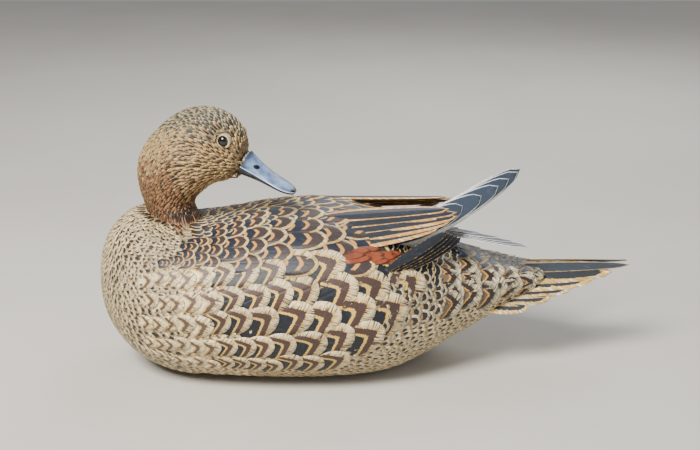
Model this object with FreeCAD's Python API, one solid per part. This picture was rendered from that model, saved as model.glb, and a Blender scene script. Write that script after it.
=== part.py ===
import FreeCAD, Part
import math
import os

# Floating hen pintail decoy. Millimetres, +Z up, +X towards the tail, left side of the bird at -Y.
# The origin is on the flat bottom, under the middle of the body.

V = FreeCAD.Vector

# ---- body: each station is (x, share of the full half width, bottom z, top z, z of the widest line)
BODY_HALF_WIDTH = 88.0
BODY_STATIONS = [
    (-215, 0.15, 64, 86, 75),
    (-213, 0.31, 50, 99, 74),
    (-208, 0.445, 37, 110, 72),
    (-200, 0.57, 25, 119, 69),
    (-188, 0.695, 13, 126, 66),
    (-172, 0.81, 4, 127, 63),
    (-150, 0.90, -3, 121, 61),
    (-120, 0.965, -5, 121, 60),
    (-80, 1.0, -6, 128, 60),
    (-40, 1.0, -6, 131, 60),
    (-5, 0.955, -4, 127, 60),
    (22, 0.865, 1, 117, 60),
    (44, 0.74, 10, 105, 61),
    (64, 0.615, 21, 97, 63),
    (84, 0.50, 32, 90, 66),
    (104, 0.41, 43, 84, 70),
    (120, 0.32, 50, 81, 71),
    (134, 0.23, 57, 79, 72),
    (146, 0.125, 64, 78, 73),
]
UPPER_POWER = 2.2
LOWER_POWER = 2.35
SECTION_POINTS = 28
SPLIT_Z = 58.0
WALL = 12.0
CAVITY_FRONT_X = -190.0
CAVITY_REAR_X = 5.0

# ---- dowels that line the two shells up
DOWEL_R = 4.0
DOWEL_LENGTH = 30.0
DOWEL_INSET = 7.0
DOWEL_SIDE = BODY_HALF_WIDTH - DOWEL_INSET
DOWEL_SPOTS = [(-204.0, 0.0), (30.0, 0.0), (-90.0, DOWEL_SIDE), (-90.0, -DOWEL_SIDE)]
GLUE_GAP = 0.05

# ---- neck joint
NECK_X = -159.0
NECK_R = 19.5
NECK_SEAT_Z = 116.0
NECK_SEAT_GAP = 0.3
BOLT_R = 3.0
BOLT_LENGTH = 62.0
BOLT_HEAD_R = 5.5
BOLT_HEAD_HEIGHT = 4.0
BOLT_GAP = 0.08
WASHER_R = 11.0
WASHER_THICKNESS = 2.0
ROOF_THICKNESS = 14.0
WASHER_ROOM = 1.5
INSERT_R = 5.0
INSERT_LENGTH = 20.0

# ---- head: each section is (reach from the neck axis, height over the neck seat, length in profile,
# width, lean of its long axis in degrees)
HEAD_SECTIONS = [
    (1.0, 10.0, 40.0, 40.0, 0.0),
    (-2.6, 20.0, 39.6, 40.0, 2.5),
    (-1.2, 40.8, 57.5, 46.0, 18.8),
    (5.0, 53.5, 63.3, 49.0, 31.4),
    (14.0, 63.2, 64.7, 51.0, 47.2),
    (26.0, 70.9, 65.5, 50.0, 64.7),
    (39.8, 72.5, 60.5, 45.5, 82.9),
    (52.0, 67.0, 46.4, 36.5, 99.0),
    (61.3, 57.1, 25.0, 21.0, 114.5),
]
HEAD_WIDTH_SHARE = 0.97
HEAD_HEIGHT_SHARE = 0.945
HEAD_LEAN = 0.06
HEAD_YAW = -18.0

# ---- bill: each section is (distance from the base, half width, upper height, lower depth)
BILL_SECTIONS = [
    (0.0, 9.8, 13.2, 8.0),
    (9.0, 9.6, 9.4, 6.2),
    (21.5, 10.2, 5.8, 4.2),
    (34.0, 11.0, 3.8, 3.0),
    (41.5, 9.2, 3.0, 2.3),
    (46.5, 3.8, 2.0, 1.5),
]
BILL_PITCH = 24.5
BILL_TENON_R = 4.0
BILL_TENON_LENGTH = 12.0

# ---- eyes
EYE_REACH = 55.0
EYE_HEIGHT = 76.2
EYE_R = 4.9
EYE_SINK = 2.0
LID_THICKNESS = 0.8
LID_FRONT = 2.2
LID_BACK = 0.8
SOCKET_REACH = 20.0

# ---- feather blades
BLADE_THICKNESS = 0.9
ROOT_SHARE = 0.45
TIP_SHARE = 0.72

# Each group: root point, tip point of its longest blade, a vector near the blades' face normal, half width,
# and for each blade from the lowest: (length as a share of the longest, fan angle in degrees, sideways step)
LEFT_PRIMARIES = ((18, -40, 103), (127, 30, 153), (0.2, -0.75, 0.6), 9.5)
RIGHT_PRIMARIES = ((16, 40, 105), (127, -30, 104), (-0.1, 0.3, 0.95), 9.5)
PRIMARY_FAN = [(1.0, 0.0, 0.0), (0.97, -1.2, 1.5), (0.89, -2.4, 3.0), (0.80, -3.6, 4.5),
               (0.67, -4.8, 6.0), (0.53, -6.0, 7.5)]
TERTIAL_ROOT = (-34, 43, 119)
TERTIAL_TIP = (72, 21, 126)
TERTIAL_NORMAL = (0.0, 0.38, 0.92)
TERTIAL_HALF_WIDTH = 8.5
TERTIAL_FAN = [(0.84, -4.5, 15.0), (0.93, -2.5, 8.0), (0.99, 0.0, 0.0), (1.0, 2.5, -8.5), (0.95, 5.0, -17.0)]
TAIL_ROOT = (84, 6, 75)
TAIL_TIP = (215, 1, 78)
TAIL_NORMAL = (0.0, 0.64, 0.77)
TAIL_HALF_WIDTH = 8.5
TAIL_FAN = [(0.35, -8.6, -27.0), (0.49, -3.6, -22.5), (0.63, -1.7, -17.0), (0.76, -0.9, -11.5),
            (0.89, -0.2, -6.0), (1.0, 0.0, 0.0)]
RIDGE_GAP = 0.4

# ---- ballast let into the flat bottom
BALLAST_X = -62.0
BALLAST_LENGTH = 88.0
BALLAST_WIDTH = 30.0
BALLAST_DEPTH = 7.0
BALLAST_GAP = 0.3
BALLAST_INSET = 0.5
SCREW_R = 2.0
SCREW_HEAD_R = 4.0
SCREW_HEAD_HEIGHT = 2.4
SCREW_LENGTH = 14.0
BALLAST_SCREW_REACH = 32.0

# ---- anchor line ring and its clip, in a recess of the flat bottom
RECESS_X = -132.0
RECESS_FRONT = 17.0
RECESS_REAR = 17.0
RECESS_HALF_WIDTH = 14.5
RECESS_DEPTH = 9.0
RING_WIRE_R = 1.4
RING_HALF_SPAN = 10.0
RING_CORNER_R = 3.0
RING_AXIS_Z = 4.6
RING_PIN_GAP = 0.06
CLIP_WALL = 1.3
CLIP_WIDTH = 9.0
CLIP_PLATE_LENGTH = 9.0
CLIP_SCREW_X = -6.5
CLIP_SCREW_SPREAD = 2.6
CLIP_SCREW_R = 1.0
CLIP_SCREW_HEAD_R = 1.9
CLIP_SCREW_HEAD_HEIGHT = 1.0
CLIP_SCREW_LENGTH = 6.0


def superellipse(half_width, below, above, low_power, high_power):
    """Points of a closed section about its widest line, as (across, up) pairs."""
    points = []
    for step in range(SECTION_POINTS):
        angle = 2 * math.pi * step / SECTION_POINTS
        side, rise = math.cos(angle), math.sin(angle)
        power = high_power if rise >= 0 else low_power
        height = above if rise >= 0 else below
        across = math.copysign(abs(side) ** (2 / power), side) * half_width
        points.append((across, math.copysign(abs(rise) ** (2 / power), rise) * height))
    return points


def closed_wire(points):
    """A smooth closed section in two halves, so that no lofted face closes on itself."""
    curve = Part.BSplineCurve()
    curve.interpolate(points, PeriodicFlag=True)
    middle = curve.parameter(points[len(points) // 2])
    halves = [curve.toShape(curve.FirstParameter, middle), curve.toShape(middle, curve.LastParameter)]
    return Part.Wire(halves)


def station_wire(x, width_share, bottom, top, middle, inset=0.0):
    half_width = width_share * BODY_HALF_WIDTH - inset
    pairs = superellipse(half_width, middle - bottom, top - middle, LOWER_POWER, UPPER_POWER)
    return closed_wire([V(x, across, middle + up) for across, up in pairs])


def box(low, high):
    return Part.makeBox(high[0] - low[0], high[1] - low[1], high[2] - low[2], V(*low))


def station_at(x):
    """The body's station values at any x, by straight interpolation."""
    for front, rear in zip(BODY_STATIONS, BODY_STATIONS[1:]):
        if front[0] <= x <= rear[0]:
            share = (x - front[0]) / (rear[0] - front[0])
            return [a + share * (b - a) for a, b in zip(front, rear)]
    return list(BODY_STATIONS[-1])


def body_blank():
    blank = Part.makeLoft([station_wire(*station) for station in BODY_STATIONS], True, False)
    return blank.common(box((-400, -400, 0), (400, 400, 400)))


def body_cavity():
    wires = []
    inner = [s for s in BODY_STATIONS if CAVITY_FRONT_X + 8 < s[0] < CAVITY_REAR_X - 8]
    stations = [station_at(CAVITY_FRONT_X)] + inner + [station_at(CAVITY_REAR_X)]
    for x, width_share, bottom, top, middle in stations:
        roof = top - WALL
        if abs(x - NECK_X) < 2 * NECK_R:
            roof = min(roof, NECK_SEAT_Z - ROOF_THICKNESS)
        wires.append(station_wire(x, width_share, max(bottom, 0) + WALL, roof, middle, WALL))
    return Part.makeLoft(wires, True, False)


def neck_seat():
    return Part.makeCylinder(NECK_R + NECK_SEAT_GAP, 60, V(NECK_X, 0, NECK_SEAT_Z))


def washer_seat():
    """A flat spot inside the hollow, under the neck, for the washer and the bolt's head."""
    low = NECK_SEAT_Z - ROOF_THICKNESS - WASHER_THICKNESS - 2 * BOLT_HEAD_HEIGHT
    high = NECK_SEAT_Z - ROOF_THICKNESS
    return Part.makeCylinder(WASHER_R + WASHER_ROOM, high - low, V(NECK_X, 0, low))


# ---------------------------------------------------------------- head


def head_wire(reach, height, length, width, lean):
    lean = math.radians(lean)
    long_axis = V(math.cos(lean), 0, -math.sin(lean))
    centre = V(NECK_X + reach, 0, NECK_SEAT_Z + height)
    points = []
    for step in range(SECTION_POINTS):
        angle = 2 * math.pi * step / SECTION_POINTS
        offset = long_axis * (math.cos(angle) * length / 2)
        points.append(centre + offset + V(0, math.sin(angle) * width / 2, 0))
    return closed_wire(points)


def head_settling():
    """Narrows and lowers the lofted head a little and leans it forward, all about the neck's seat."""
    return FreeCAD.Matrix(1, 0, HEAD_LEAN, -HEAD_LEAN * NECK_SEAT_Z,
                          0, HEAD_WIDTH_SHARE, 0, 0,
                          0, 0, HEAD_HEIGHT_SHARE, NECK_SEAT_Z * (1 - HEAD_HEIGHT_SHARE),
                          0, 0, 0, 1)


def head_blank():
    carving = Part.makeLoft([head_wire(*section) for section in HEAD_SECTIONS], True, False)
    carving = carving.transformGeometry(head_settling())
    stem = Part.makeCylinder(NECK_R, HEAD_SECTIONS[0][1] + 1.0, V(NECK_X, 0, NECK_SEAT_Z))
    return carving.fuse(stem)


def turned(shape):
    """Turns a head piece about the neck's own upright axis."""
    copy = shape.copy()
    copy.rotate(V(NECK_X, 0, 0), V(0, 0, 1), HEAD_YAW)
    return copy


def bill_frame():
    """Centre of the bill's base, its forward direction and its upward direction, on the face of the head."""
    reach, height, _, _, lean = HEAD_SECTIONS[-1]
    lean = math.radians(lean)
    pitch = math.radians(BILL_PITCH)
    settling = head_settling()
    base = settling.multVec(V(NECK_X + reach, 0, NECK_SEAT_Z + height))
    above = settling.multVec(V(NECK_X + reach - math.cos(lean), 0, NECK_SEAT_Z + height + math.sin(lean)))
    up = above - base
    up.normalize()
    return base, V(math.cos(pitch), 0, -math.sin(pitch)), up


def bill_half(upper):
    base, forward, up = bill_frame()
    wires = []
    for distance, half_width, height, depth in BILL_SECTIONS:
        rise = height if upper else -depth
        centre = base + forward * distance
        arc = []
        for step in range(13):
            angle = math.pi * step / 12
            arc.append(centre + V(0, math.cos(angle) * half_width, 0) + up * (math.sin(angle) * rise))
        curve = Part.BSplineCurve()
        curve.interpolate(arc)
        wires.append(Part.Wire([curve.toShape(), Part.LineSegment(arc[-1], arc[0]).toShape()]))
    return Part.makeLoft(wires, True, False)


def bill_tenon(gap):
    base, forward, up = bill_frame()
    length = BILL_TENON_LENGTH + gap
    start = base + up * (BILL_TENON_R + 0.6) - forward * length
    return Part.makeCylinder(BILL_TENON_R + gap, length + 1.0, start, forward)


def eye_centre(head, side):
    """The eye sits in the cheek, a little below the surface of the carving."""
    start = V(NECK_X + EYE_REACH, 0, NECK_SEAT_Z + EYE_HEIGHT)
    ray = Part.makeLine(start, start + V(0, side * 60, 0)).common(head)
    return start + V(0, side * (ray.Length - EYE_SINK), 0)


def eye_socket(centre, side, reach):
    """The drilled seat of an eye, from behind the eye out to the given reach."""
    outward = V(0, side, 0)
    depth = EYE_R + LID_BACK
    return Part.makeCylinder(EYE_R + LID_THICKNESS, depth + reach, centre - outward * depth, outward)


def eyelid(centre, side):
    return eye_socket(centre, side, LID_FRONT).cut(Part.makeSphere(EYE_R, centre))


# ---------------------------------------------------------------- feather blades


def blade(length, half_width):
    """A flat feather in its own frame: quill at the origin, tip at +X, face normal +Z."""
    root = half_width * ROOT_SHARE
    side = [V(0, -root, 0), V(0.45 * length, -half_width, 0), V(0.82 * length, -half_width * TIP_SHARE, 0),
            V(length, 0, 0)]
    lower = Part.BSplineCurve()
    lower.interpolate(side)
    upper = Part.BSplineCurve()
    upper.interpolate([V(p.x, -p.y, 0) for p in reversed(side)])
    closing = Part.LineSegment(V(0, root, 0), V(0, -root, 0))
    wire = Part.Wire([lower.toShape(), upper.toShape(), closing.toShape()])
    return Part.Face(wire).extrude(V(0, 0, BLADE_THICKNESS))


def blade_stack(root, tip, normal, half_width, fan):
    """Parallel blades stacked face to face, each with its own length, fan angle and sideways step."""
    along = V(*tip) - V(*root)
    longest = along.Length
    along.normalize()
    face = V(*normal) - along * along.dot(V(*normal))
    face.normalize()
    turn = FreeCAD.Rotation(along, face.cross(along), face, "XZY")
    blades = []
    for level, (share, angle, step) in enumerate(fan):
        piece = blade(longest * share, half_width)
        piece.rotate(V(0, 0, 0), V(0, 0, 1), angle)
        piece.translate(V(0, step, level * BLADE_THICKNESS))
        piece.Placement = FreeCAD.Placement(V(*root), turn).multiply(piece.Placement)
        blades.append(piece)
    return blades


def mirrored(point, side):
    return (point[0], point[1] * side, point[2])


def tail_half(side):
    fan = [(share, -side * angle, -side * step) for share, angle, step in TAIL_FAN]
    stack = blade_stack(mirrored(TAIL_ROOT, side), mirrored(TAIL_TIP, side), mirrored(TAIL_NORMAL, side),
                        TAIL_HALF_WIDTH, fan)
    own_side = box((-400, RIDGE_GAP / 2, 0), (400, 400, 400))
    if side < 0:
        own_side = box((-400, -400, 0), (400, -RIDGE_GAP / 2, 400))
    return [piece.common(own_side) for piece in stack]


def tertial_half(side):
    fan = [(share, side * angle, side * step) for share, angle, step in TERTIAL_FAN]
    stack = blade_stack(mirrored(TERTIAL_ROOT, side), mirrored(TERTIAL_TIP, side),
                        mirrored(TERTIAL_NORMAL, side), TERTIAL_HALF_WIDTH, fan)
    own_side = box((-400, RIDGE_GAP / 2, 0), (400, 400, 400))
    if side < 0:
        own_side = box((-400, -400, 0), (400, -RIDGE_GAP / 2, 400))
    return [piece.common(own_side) for piece in stack]


def feather_nodes():
    nodes = {}
    groups = {
        "left_primary": blade_stack(*LEFT_PRIMARIES, PRIMARY_FAN),
        "right_primary": blade_stack(*RIGHT_PRIMARIES, [(s, -a, -d) for s, a, d in PRIMARY_FAN]),
        "left_tertial": tertial_half(-1),
        "right_tertial": tertial_half(1),
        "left_tail": tail_half(-1),
        "right_tail": tail_half(1),
    }
    for name, pieces in groups.items():
        for number, piece in enumerate(pieces, 1):
            nodes["%s_%d" % (name, number)] = piece
    return nodes


# ---------------------------------------------------------------- hidden hardware


def screw(x, y, seat_z, shank_r, head_r, head_height, length):
    """A screw driven upwards: its head's underside is at seat_z."""
    head = Part.makeCylinder(head_r, head_height, V(x, y, seat_z - head_height))
    return head.fuse(Part.makeCylinder(shank_r, length, V(x, y, seat_z)))


def ballast_bar(gap):
    half_length = BALLAST_LENGTH / 2 + gap
    half_width = BALLAST_WIDTH / 2 + gap
    floor = -1.0 if gap else BALLAST_INSET
    top = BALLAST_INSET + BALLAST_DEPTH
    return box((BALLAST_X - half_length, -half_width, floor), (BALLAST_X + half_length, half_width, top))


def ballast_screw_set():
    seat_z = BALLAST_INSET + SCREW_HEAD_HEIGHT
    return [screw(BALLAST_X + reach, 0, seat_z, SCREW_R, SCREW_HEAD_R, SCREW_HEAD_HEIGHT, SCREW_LENGTH)
            for reach in (-BALLAST_SCREW_REACH, BALLAST_SCREW_REACH)]


def ring_recess():
    return box((RECESS_X - RECESS_FRONT, -RECESS_HALF_WIDTH, -1.0),
               (RECESS_X + RECESS_REAR, RECESS_HALF_WIDTH, RECESS_DEPTH))


def line_ring():
    """A D-ring: a straight bar along Y, round corners and a half-round bow, lying level in its recess."""
    flat = RING_HALF_SPAN - RING_CORNER_R
    inset = RING_CORNER_R * (1 - math.sqrt(0.5))

    def at(forward, across):
        return V(RECESS_X + forward, across, RING_AXIS_Z)

    path = Part.Wire([
        Part.LineSegment(at(0, -flat), at(0, flat)).toShape(),
        Part.Arc(at(0, flat), at(inset, RING_HALF_SPAN - inset), at(RING_CORNER_R, RING_HALF_SPAN)).toShape(),
        Part.Arc(at(RING_CORNER_R, RING_HALF_SPAN), at(RING_CORNER_R + RING_HALF_SPAN, 0),
                 at(RING_CORNER_R, -RING_HALF_SPAN)).toShape(),
        Part.Arc(at(RING_CORNER_R, -RING_HALF_SPAN), at(inset, inset - RING_HALF_SPAN), at(0, -flat)).toShape(),
    ])
    profile = Part.Wire(Part.Circle(at(0, -flat), V(0, 1, 0), RING_WIRE_R).toShape())
    return path.makePipeShell([profile], True, False)


def line_clip():
    bore_r = RING_WIRE_R + RING_PIN_GAP
    outer_r = bore_r + CLIP_WALL
    start = V(RECESS_X, -CLIP_WIDTH / 2, RING_AXIS_Z)
    sleeve = Part.makeCylinder(outer_r, CLIP_WIDTH, start, V(0, 1, 0))
    plate = box((RECESS_X - CLIP_PLATE_LENGTH - 1.0, -CLIP_WIDTH / 2, RECESS_DEPTH - CLIP_WALL),
                (RECESS_X + outer_r, CLIP_WIDTH / 2, RECESS_DEPTH))
    web = box((RECESS_X - outer_r, -CLIP_WIDTH / 2, RING_AXIS_Z),
              (RECESS_X + outer_r, CLIP_WIDTH / 2, RECESS_DEPTH))
    bore = Part.makeCylinder(bore_r, CLIP_WIDTH, start, V(0, 1, 0))
    clip = plate.fuse(web).fuse(sleeve).cut(bore)
    for piece in clip_screw_set():
        clip = clip.cut(piece)
    return clip


def clip_screw_set():
    seat_z = RECESS_DEPTH - CLIP_WALL
    return [screw(RECESS_X + CLIP_SCREW_X, y, seat_z, CLIP_SCREW_R, CLIP_SCREW_HEAD_R,
                  CLIP_SCREW_HEAD_HEIGHT, CLIP_SCREW_LENGTH)
            for y in (-CLIP_SCREW_SPREAD, CLIP_SCREW_SPREAD)]


def dowel_set(gap):
    return [Part.makeCylinder(DOWEL_R + gap, DOWEL_LENGTH + 2 * gap,
                              V(x, y, SPLIT_Z - DOWEL_LENGTH / 2 - gap)) for x, y in DOWEL_SPOTS]


def neck_hardware():
    roof_inside = NECK_SEAT_Z - ROOF_THICKNESS
    washer_low = roof_inside - WASHER_THICKNESS
    washer = Part.makeCylinder(WASHER_R, WASHER_THICKNESS, V(NECK_X, 0, washer_low))
    washer = washer.cut(Part.makeCylinder(BOLT_R + BOLT_GAP, WASHER_THICKNESS, V(NECK_X, 0, washer_low)))
    bolt = screw(NECK_X, 0, washer_low, BOLT_R, BOLT_HEAD_R, BOLT_HEAD_HEIGHT, BOLT_LENGTH)
    insert_low = NECK_SEAT_Z
    insert = Part.makeCylinder(INSERT_R, INSERT_LENGTH, V(NECK_X, 0, insert_low))
    insert = insert.cut(Part.makeCylinder(BOLT_R, INSERT_LENGTH, V(NECK_X, 0, insert_low)))
    return bolt, washer, insert


# ---------------------------------------------------------------- assembly


def make_nodes():
    nodes = feather_nodes()
    bolt, washer, insert = neck_hardware()
    nodes["neck_bolt"] = bolt
    nodes["neck_washer"] = washer
    nodes["neck_insert"] = insert

    head = head_blank()
    upper = bill_half(True).fuse(bill_tenon(0.0))
    lower = bill_half(False)
    head = head.cut(bill_tenon(GLUE_GAP))
    for side, name in ((-1, "left"), (1, "right")):
        centre = eye_centre(head, side)
        head = head.cut(eye_socket(centre, side, SOCKET_REACH))
        nodes["eye_" + name] = turned(Part.makeSphere(EYE_R, centre))
        nodes["eyelid_" + name] = turned(eyelid(centre, side))
    nodes["bill_upper"] = turned(upper)
    nodes["bill_lower"] = turned(lower)
    head = turned(head)
    head = head.cut(Part.makeCylinder(INSERT_R, INSERT_LENGTH, V(NECK_X, 0, NECK_SEAT_Z)))
    bolt_room = Part.makeCylinder(BOLT_R + BOLT_GAP, BOLT_LENGTH + 2.0, V(NECK_X, 0, NECK_SEAT_Z - ROOF_THICKNESS))
    nodes["head"] = head.cut(bolt_room)

    body = body_blank().cut(body_cavity()).cut(neck_seat()).cut(washer_seat()).cut(bolt_room)
    body = body.cut(ballast_bar(BALLAST_GAP)).cut(ring_recess())
    for piece in dowel_set(GLUE_GAP) + ballast_screw_set() + clip_screw_set():
        body = body.cut(piece)
    body = body.cut(Part.makeCompound(feather_blades(nodes)))
    nodes["body_top"] = body.common(box((-400, -400, SPLIT_Z), (400, 400, 400)))
    nodes["body_bottom"] = body.common(box((-400, -400, 0), (400, 400, SPLIT_Z)))
    nodes["body_dowels"] = Part.makeCompound(dowel_set(0.0))

    weight = ballast_bar(0.0)
    for piece in ballast_screw_set():
        weight = weight.cut(piece)
    nodes["ballast_weight"] = weight
    nodes["ballast_screws"] = Part.makeCompound(ballast_screw_set())
    nodes["line_clip"] = line_clip()
    nodes["clip_screws"] = Part.makeCompound(clip_screw_set())
    nodes["line_ring"] = line_ring()
    return nodes


def feather_blades(nodes):
    kinds = ("primary", "tertial", "tail")
    return [shape for name, shape in nodes.items() if any(kind in name for kind in kinds)]


os.makedirs("parts", exist_ok=True)
for node_name, node_shape in make_nodes().items():
    solids = node_shape.Solids
    shape = solids[0] if len(solids) == 1 else Part.makeCompound(solids)
    shape.exportStep("parts/%s.step" % node_name)
    bounds = shape.BoundBox
    print("%-18s solids %d  volume %9.1f  x %.0f..%.0f y %.0f..%.0f z %.0f..%.0f" % (
        node_name, len(solids), shape.Volume, bounds.XMin, bounds.XMax, bounds.YMin, bounds.YMax,
        bounds.ZMin, bounds.ZMax))
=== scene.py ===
import math
import random

import bpy
import numpy as np
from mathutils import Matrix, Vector
from mathutils.bvhtree import BVHTree


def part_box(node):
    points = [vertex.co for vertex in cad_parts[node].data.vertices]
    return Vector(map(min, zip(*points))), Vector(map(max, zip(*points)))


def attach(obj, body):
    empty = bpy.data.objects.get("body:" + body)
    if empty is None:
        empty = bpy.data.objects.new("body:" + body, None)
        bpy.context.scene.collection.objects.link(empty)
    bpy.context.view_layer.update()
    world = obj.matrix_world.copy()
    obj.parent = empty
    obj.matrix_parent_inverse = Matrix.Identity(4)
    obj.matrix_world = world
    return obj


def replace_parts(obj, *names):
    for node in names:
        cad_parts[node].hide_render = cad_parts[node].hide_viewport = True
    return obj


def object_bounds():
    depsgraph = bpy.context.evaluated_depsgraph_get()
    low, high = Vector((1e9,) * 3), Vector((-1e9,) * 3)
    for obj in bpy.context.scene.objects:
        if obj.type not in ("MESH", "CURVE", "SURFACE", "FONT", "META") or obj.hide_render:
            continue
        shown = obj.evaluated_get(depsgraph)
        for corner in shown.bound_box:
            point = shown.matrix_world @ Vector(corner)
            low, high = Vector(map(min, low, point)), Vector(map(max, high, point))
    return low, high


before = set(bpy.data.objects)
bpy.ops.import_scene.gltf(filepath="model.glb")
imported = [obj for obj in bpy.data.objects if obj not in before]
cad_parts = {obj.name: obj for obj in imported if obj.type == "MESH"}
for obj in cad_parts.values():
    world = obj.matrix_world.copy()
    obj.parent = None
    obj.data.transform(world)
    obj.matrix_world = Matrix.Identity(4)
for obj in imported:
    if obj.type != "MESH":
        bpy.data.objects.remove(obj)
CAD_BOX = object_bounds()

# A carved and painted hen pintail decoy. Metres, +X towards the tail, +Z up, the bird's left side at -Y.

HULL = "decoy"
MM = 0.001
KEEL_CLEAR = 0.0045
dice = random.Random(7)

# ------------------------------------------------------------------ colours of the paint pots (linear)

CREAM = (0.78, 0.67, 0.42, 1)
WARM_CREAM = (0.62, 0.39, 0.11, 1)
BUFF = (0.33, 0.22, 0.09, 1)
GOLD = (0.66, 0.42, 0.09, 1)
OCHRE = (0.56, 0.27, 0.06, 1)
UMBER = (0.055, 0.028, 0.021, 1)
BARK = (0.020, 0.012, 0.009, 1)
NAVY = (0.004, 0.007, 0.013, 1)
SLATE = (0.020, 0.034, 0.055, 1)
PALE_SLATE = (0.13, 0.17, 0.23, 1)
RUST = (0.19, 0.036, 0.010, 1)
WHITE = (0.88, 0.86, 0.76, 1)


# ------------------------------------------------------------------ a short hand for shader nodes


class Bench:
    """Adds nodes to a tree and joins them up; numbers and sockets can both be given as inputs."""

    def __init__(self, tree):
        self.tree = tree

    def plug(self, socket, value):
        if isinstance(value, bpy.types.NodeSocket):
            self.tree.links.new(value, socket)
        elif value is not None:
            socket.default_value = value

    def node(self, kind, inputs=(), **settings):
        made = self.tree.nodes.new(kind)
        for name, value in settings.items():
            setattr(made, name, value)
        for name, value in dict(inputs).items():
            self.plug(made.inputs[name], value)
        return made

    def sum(self, operation, a, b=None):
        """One step of arithmetic, such as MULTIPLY, on numbers or sockets."""
        made = self.node("ShaderNodeMath", operation=operation)
        for socket, value in zip(made.inputs, (a, b)):
            self.plug(socket, value)
        return made.outputs[0]

    def step(self, value, low, high):
        """Rises smoothly from 0 at low to 1 at high."""
        made = self.node("ShaderNodeMapRange", interpolation_type="SMOOTHSTEP")
        for name, given in (("Value", value), ("From Min", low), ("From Max", high)):
            self.plug(made.inputs[name], given)
        return made.outputs["Result"]

    def fall(self, value, low, high):
        """Falls smoothly from 1 at low to 0 at high."""
        return self.sum("SUBTRACT", 1.0, self.step(value, low, high))

    def mix(self, factor, a, b):
        made = self.node("ShaderNodeMix", data_type="RGBA")
        self.plug(made.inputs[0], factor)
        self.plug(made.inputs[6], a)
        self.plug(made.inputs[7], b)
        return made.outputs[2]

    def vector(self, x, y, z):
        made = self.node("ShaderNodeCombineXYZ")
        for socket, value in zip(made.inputs, (x, y, z)):
            self.plug(socket, value)
        return made.outputs[0]

    def noise(self, vector, scale, detail, rough):
        made = self.node("ShaderNodeTexNoise", {"Scale": scale, "Detail": detail, "Roughness": rough})
        self.plug(made.inputs["Vector"], vector)
        return made.outputs["Fac"]

    def uv(self, layer):
        split = self.node("ShaderNodeSeparateXYZ")
        self.plug(split.inputs[0], self.node("ShaderNodeUVMap", uv_map=layer).outputs["UV"])
        return split.outputs[0], split.outputs[1]

    def measured(self, place, origin, way):
        """How far a place lies from an origin, measured along a way."""
        from_origin = self.node("ShaderNodeVectorMath", operation="SUBTRACT")
        self.plug(from_origin.inputs[0], place)
        self.plug(from_origin.inputs[1], tuple(origin))
        product = self.node("ShaderNodeVectorMath", operation="DOT_PRODUCT")
        self.plug(product.inputs[0], from_origin.outputs[0])
        self.plug(product.inputs[1], tuple(way))
        return product.outputs["Value"]

    def bump(self, height, strength, distance):
        made = self.node("ShaderNodeBump", {"Strength": strength, "Distance": distance, "Height": height})
        return made.outputs["Normal"]


def new_group(name, inputs, outputs):
    """An empty shader group with named sockets; inputs is (name, kind, default)."""
    tree = bpy.data.node_groups.new(name, "ShaderNodeTree")
    kinds = {"value": "NodeSocketFloat", "colour": "NodeSocketColor"}
    for title, kind, default in inputs:
        made = tree.interface.new_socket(title, in_out="INPUT", socket_type=kinds[kind])
        made.default_value = default
    for title, kind in outputs:
        tree.interface.new_socket(title, in_out="OUTPUT", socket_type=kinds[kind])
    return tree, tree.nodes.new("NodeGroupInput").outputs, tree.nodes.new("NodeGroupOutput").inputs


def new_material(name):
    """A new material, with a bench for its tree and its shader."""
    material = bpy.data.materials.new(name)
    material.use_nodes = True
    return material, Bench(material.node_tree), material.node_tree.nodes["Principled BSDF"]


PAINT_EDGE = 0.05
LINE_FADE = 0.12
BARB_SLANT = 1.2
QUILL_WIDTH = 0.12

# Depths from the tip are in about half widths of the feather; Aspect is its length in them.
FEATHER_INPUTS = [
    ("Margin", "colour", CREAM), ("Margin Tinge", "colour", WARM_CREAM), ("Chevron", "colour", UMBER),
    ("Line", "colour", GOLD), ("Centre", "colour", NAVY), ("Aspect", "value", 2.0),
    ("Shoulder", "value", 0.45), ("Point", "value", 1.4), ("Margin End", "value", 0.45),
    ("Chevron End", "value", 0.95), ("Line End", "value", 1.15), ("Bar Start", "value", 9.0),
    ("Bar End", "value", 9.2), ("Rim", "value", 0.8), ("Ragged", "value", 0.25), ("Hairs", "value", 0.5),
    ("Barbs", "value", 9.0), ("Variation", "value", 0.25), ("Line Reach", "value", 2.0)]


def reached(b, depth, level):
    """Rises from 0 to 1 where a measure passes a level, with a narrow soft edge."""
    return b.step(depth, level, b.sum("ADD", level, PAINT_EDGE))


def barb_noises(b, given, reach, side, seed):
    """Noise drawn out along the slanted barbs, first as broad strands and then as fine hairs."""
    barb = b.sum("SUBTRACT", reach, b.sum("MULTIPLY", b.sum("ABSOLUTE", side), BARB_SLANT))
    lanes = b.vector(b.sum("MULTIPLY", barb, given["Barbs"]), b.sum("MULTIPLY", side, 1.3),
                     b.sum("MULTIPLY", seed, 61.0))
    hair_lanes = b.vector(b.sum("MULTIPLY", barb, b.sum("MULTIPLY", given["Barbs"], 1.9)),
                          b.sum("MULTIPLY", side, 2.1), b.sum("MULTIPLY", seed, 17.0))
    return b.noise(lanes, 1.0, 3.0, 0.6), b.noise(hair_lanes, 1.0, 1.0, 0.4)


def feather_depth(b, given, reach, side, wander):
    """How far in from the feather's rounded or pointed tip a place lies."""
    rounded = b.sum("SQRT", b.sum("ADD", b.sum("MULTIPLY", side, side), 0.02))
    tip_line = b.sum("ADD", reach, b.sum("MULTIPLY", rounded, given["Point"]))
    from_tip = b.sum("SUBTRACT", given["Aspect"], tip_line)
    return b.sum("ADD", from_tip, b.sum("MULTIPLY", wander, 2.0))


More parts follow.
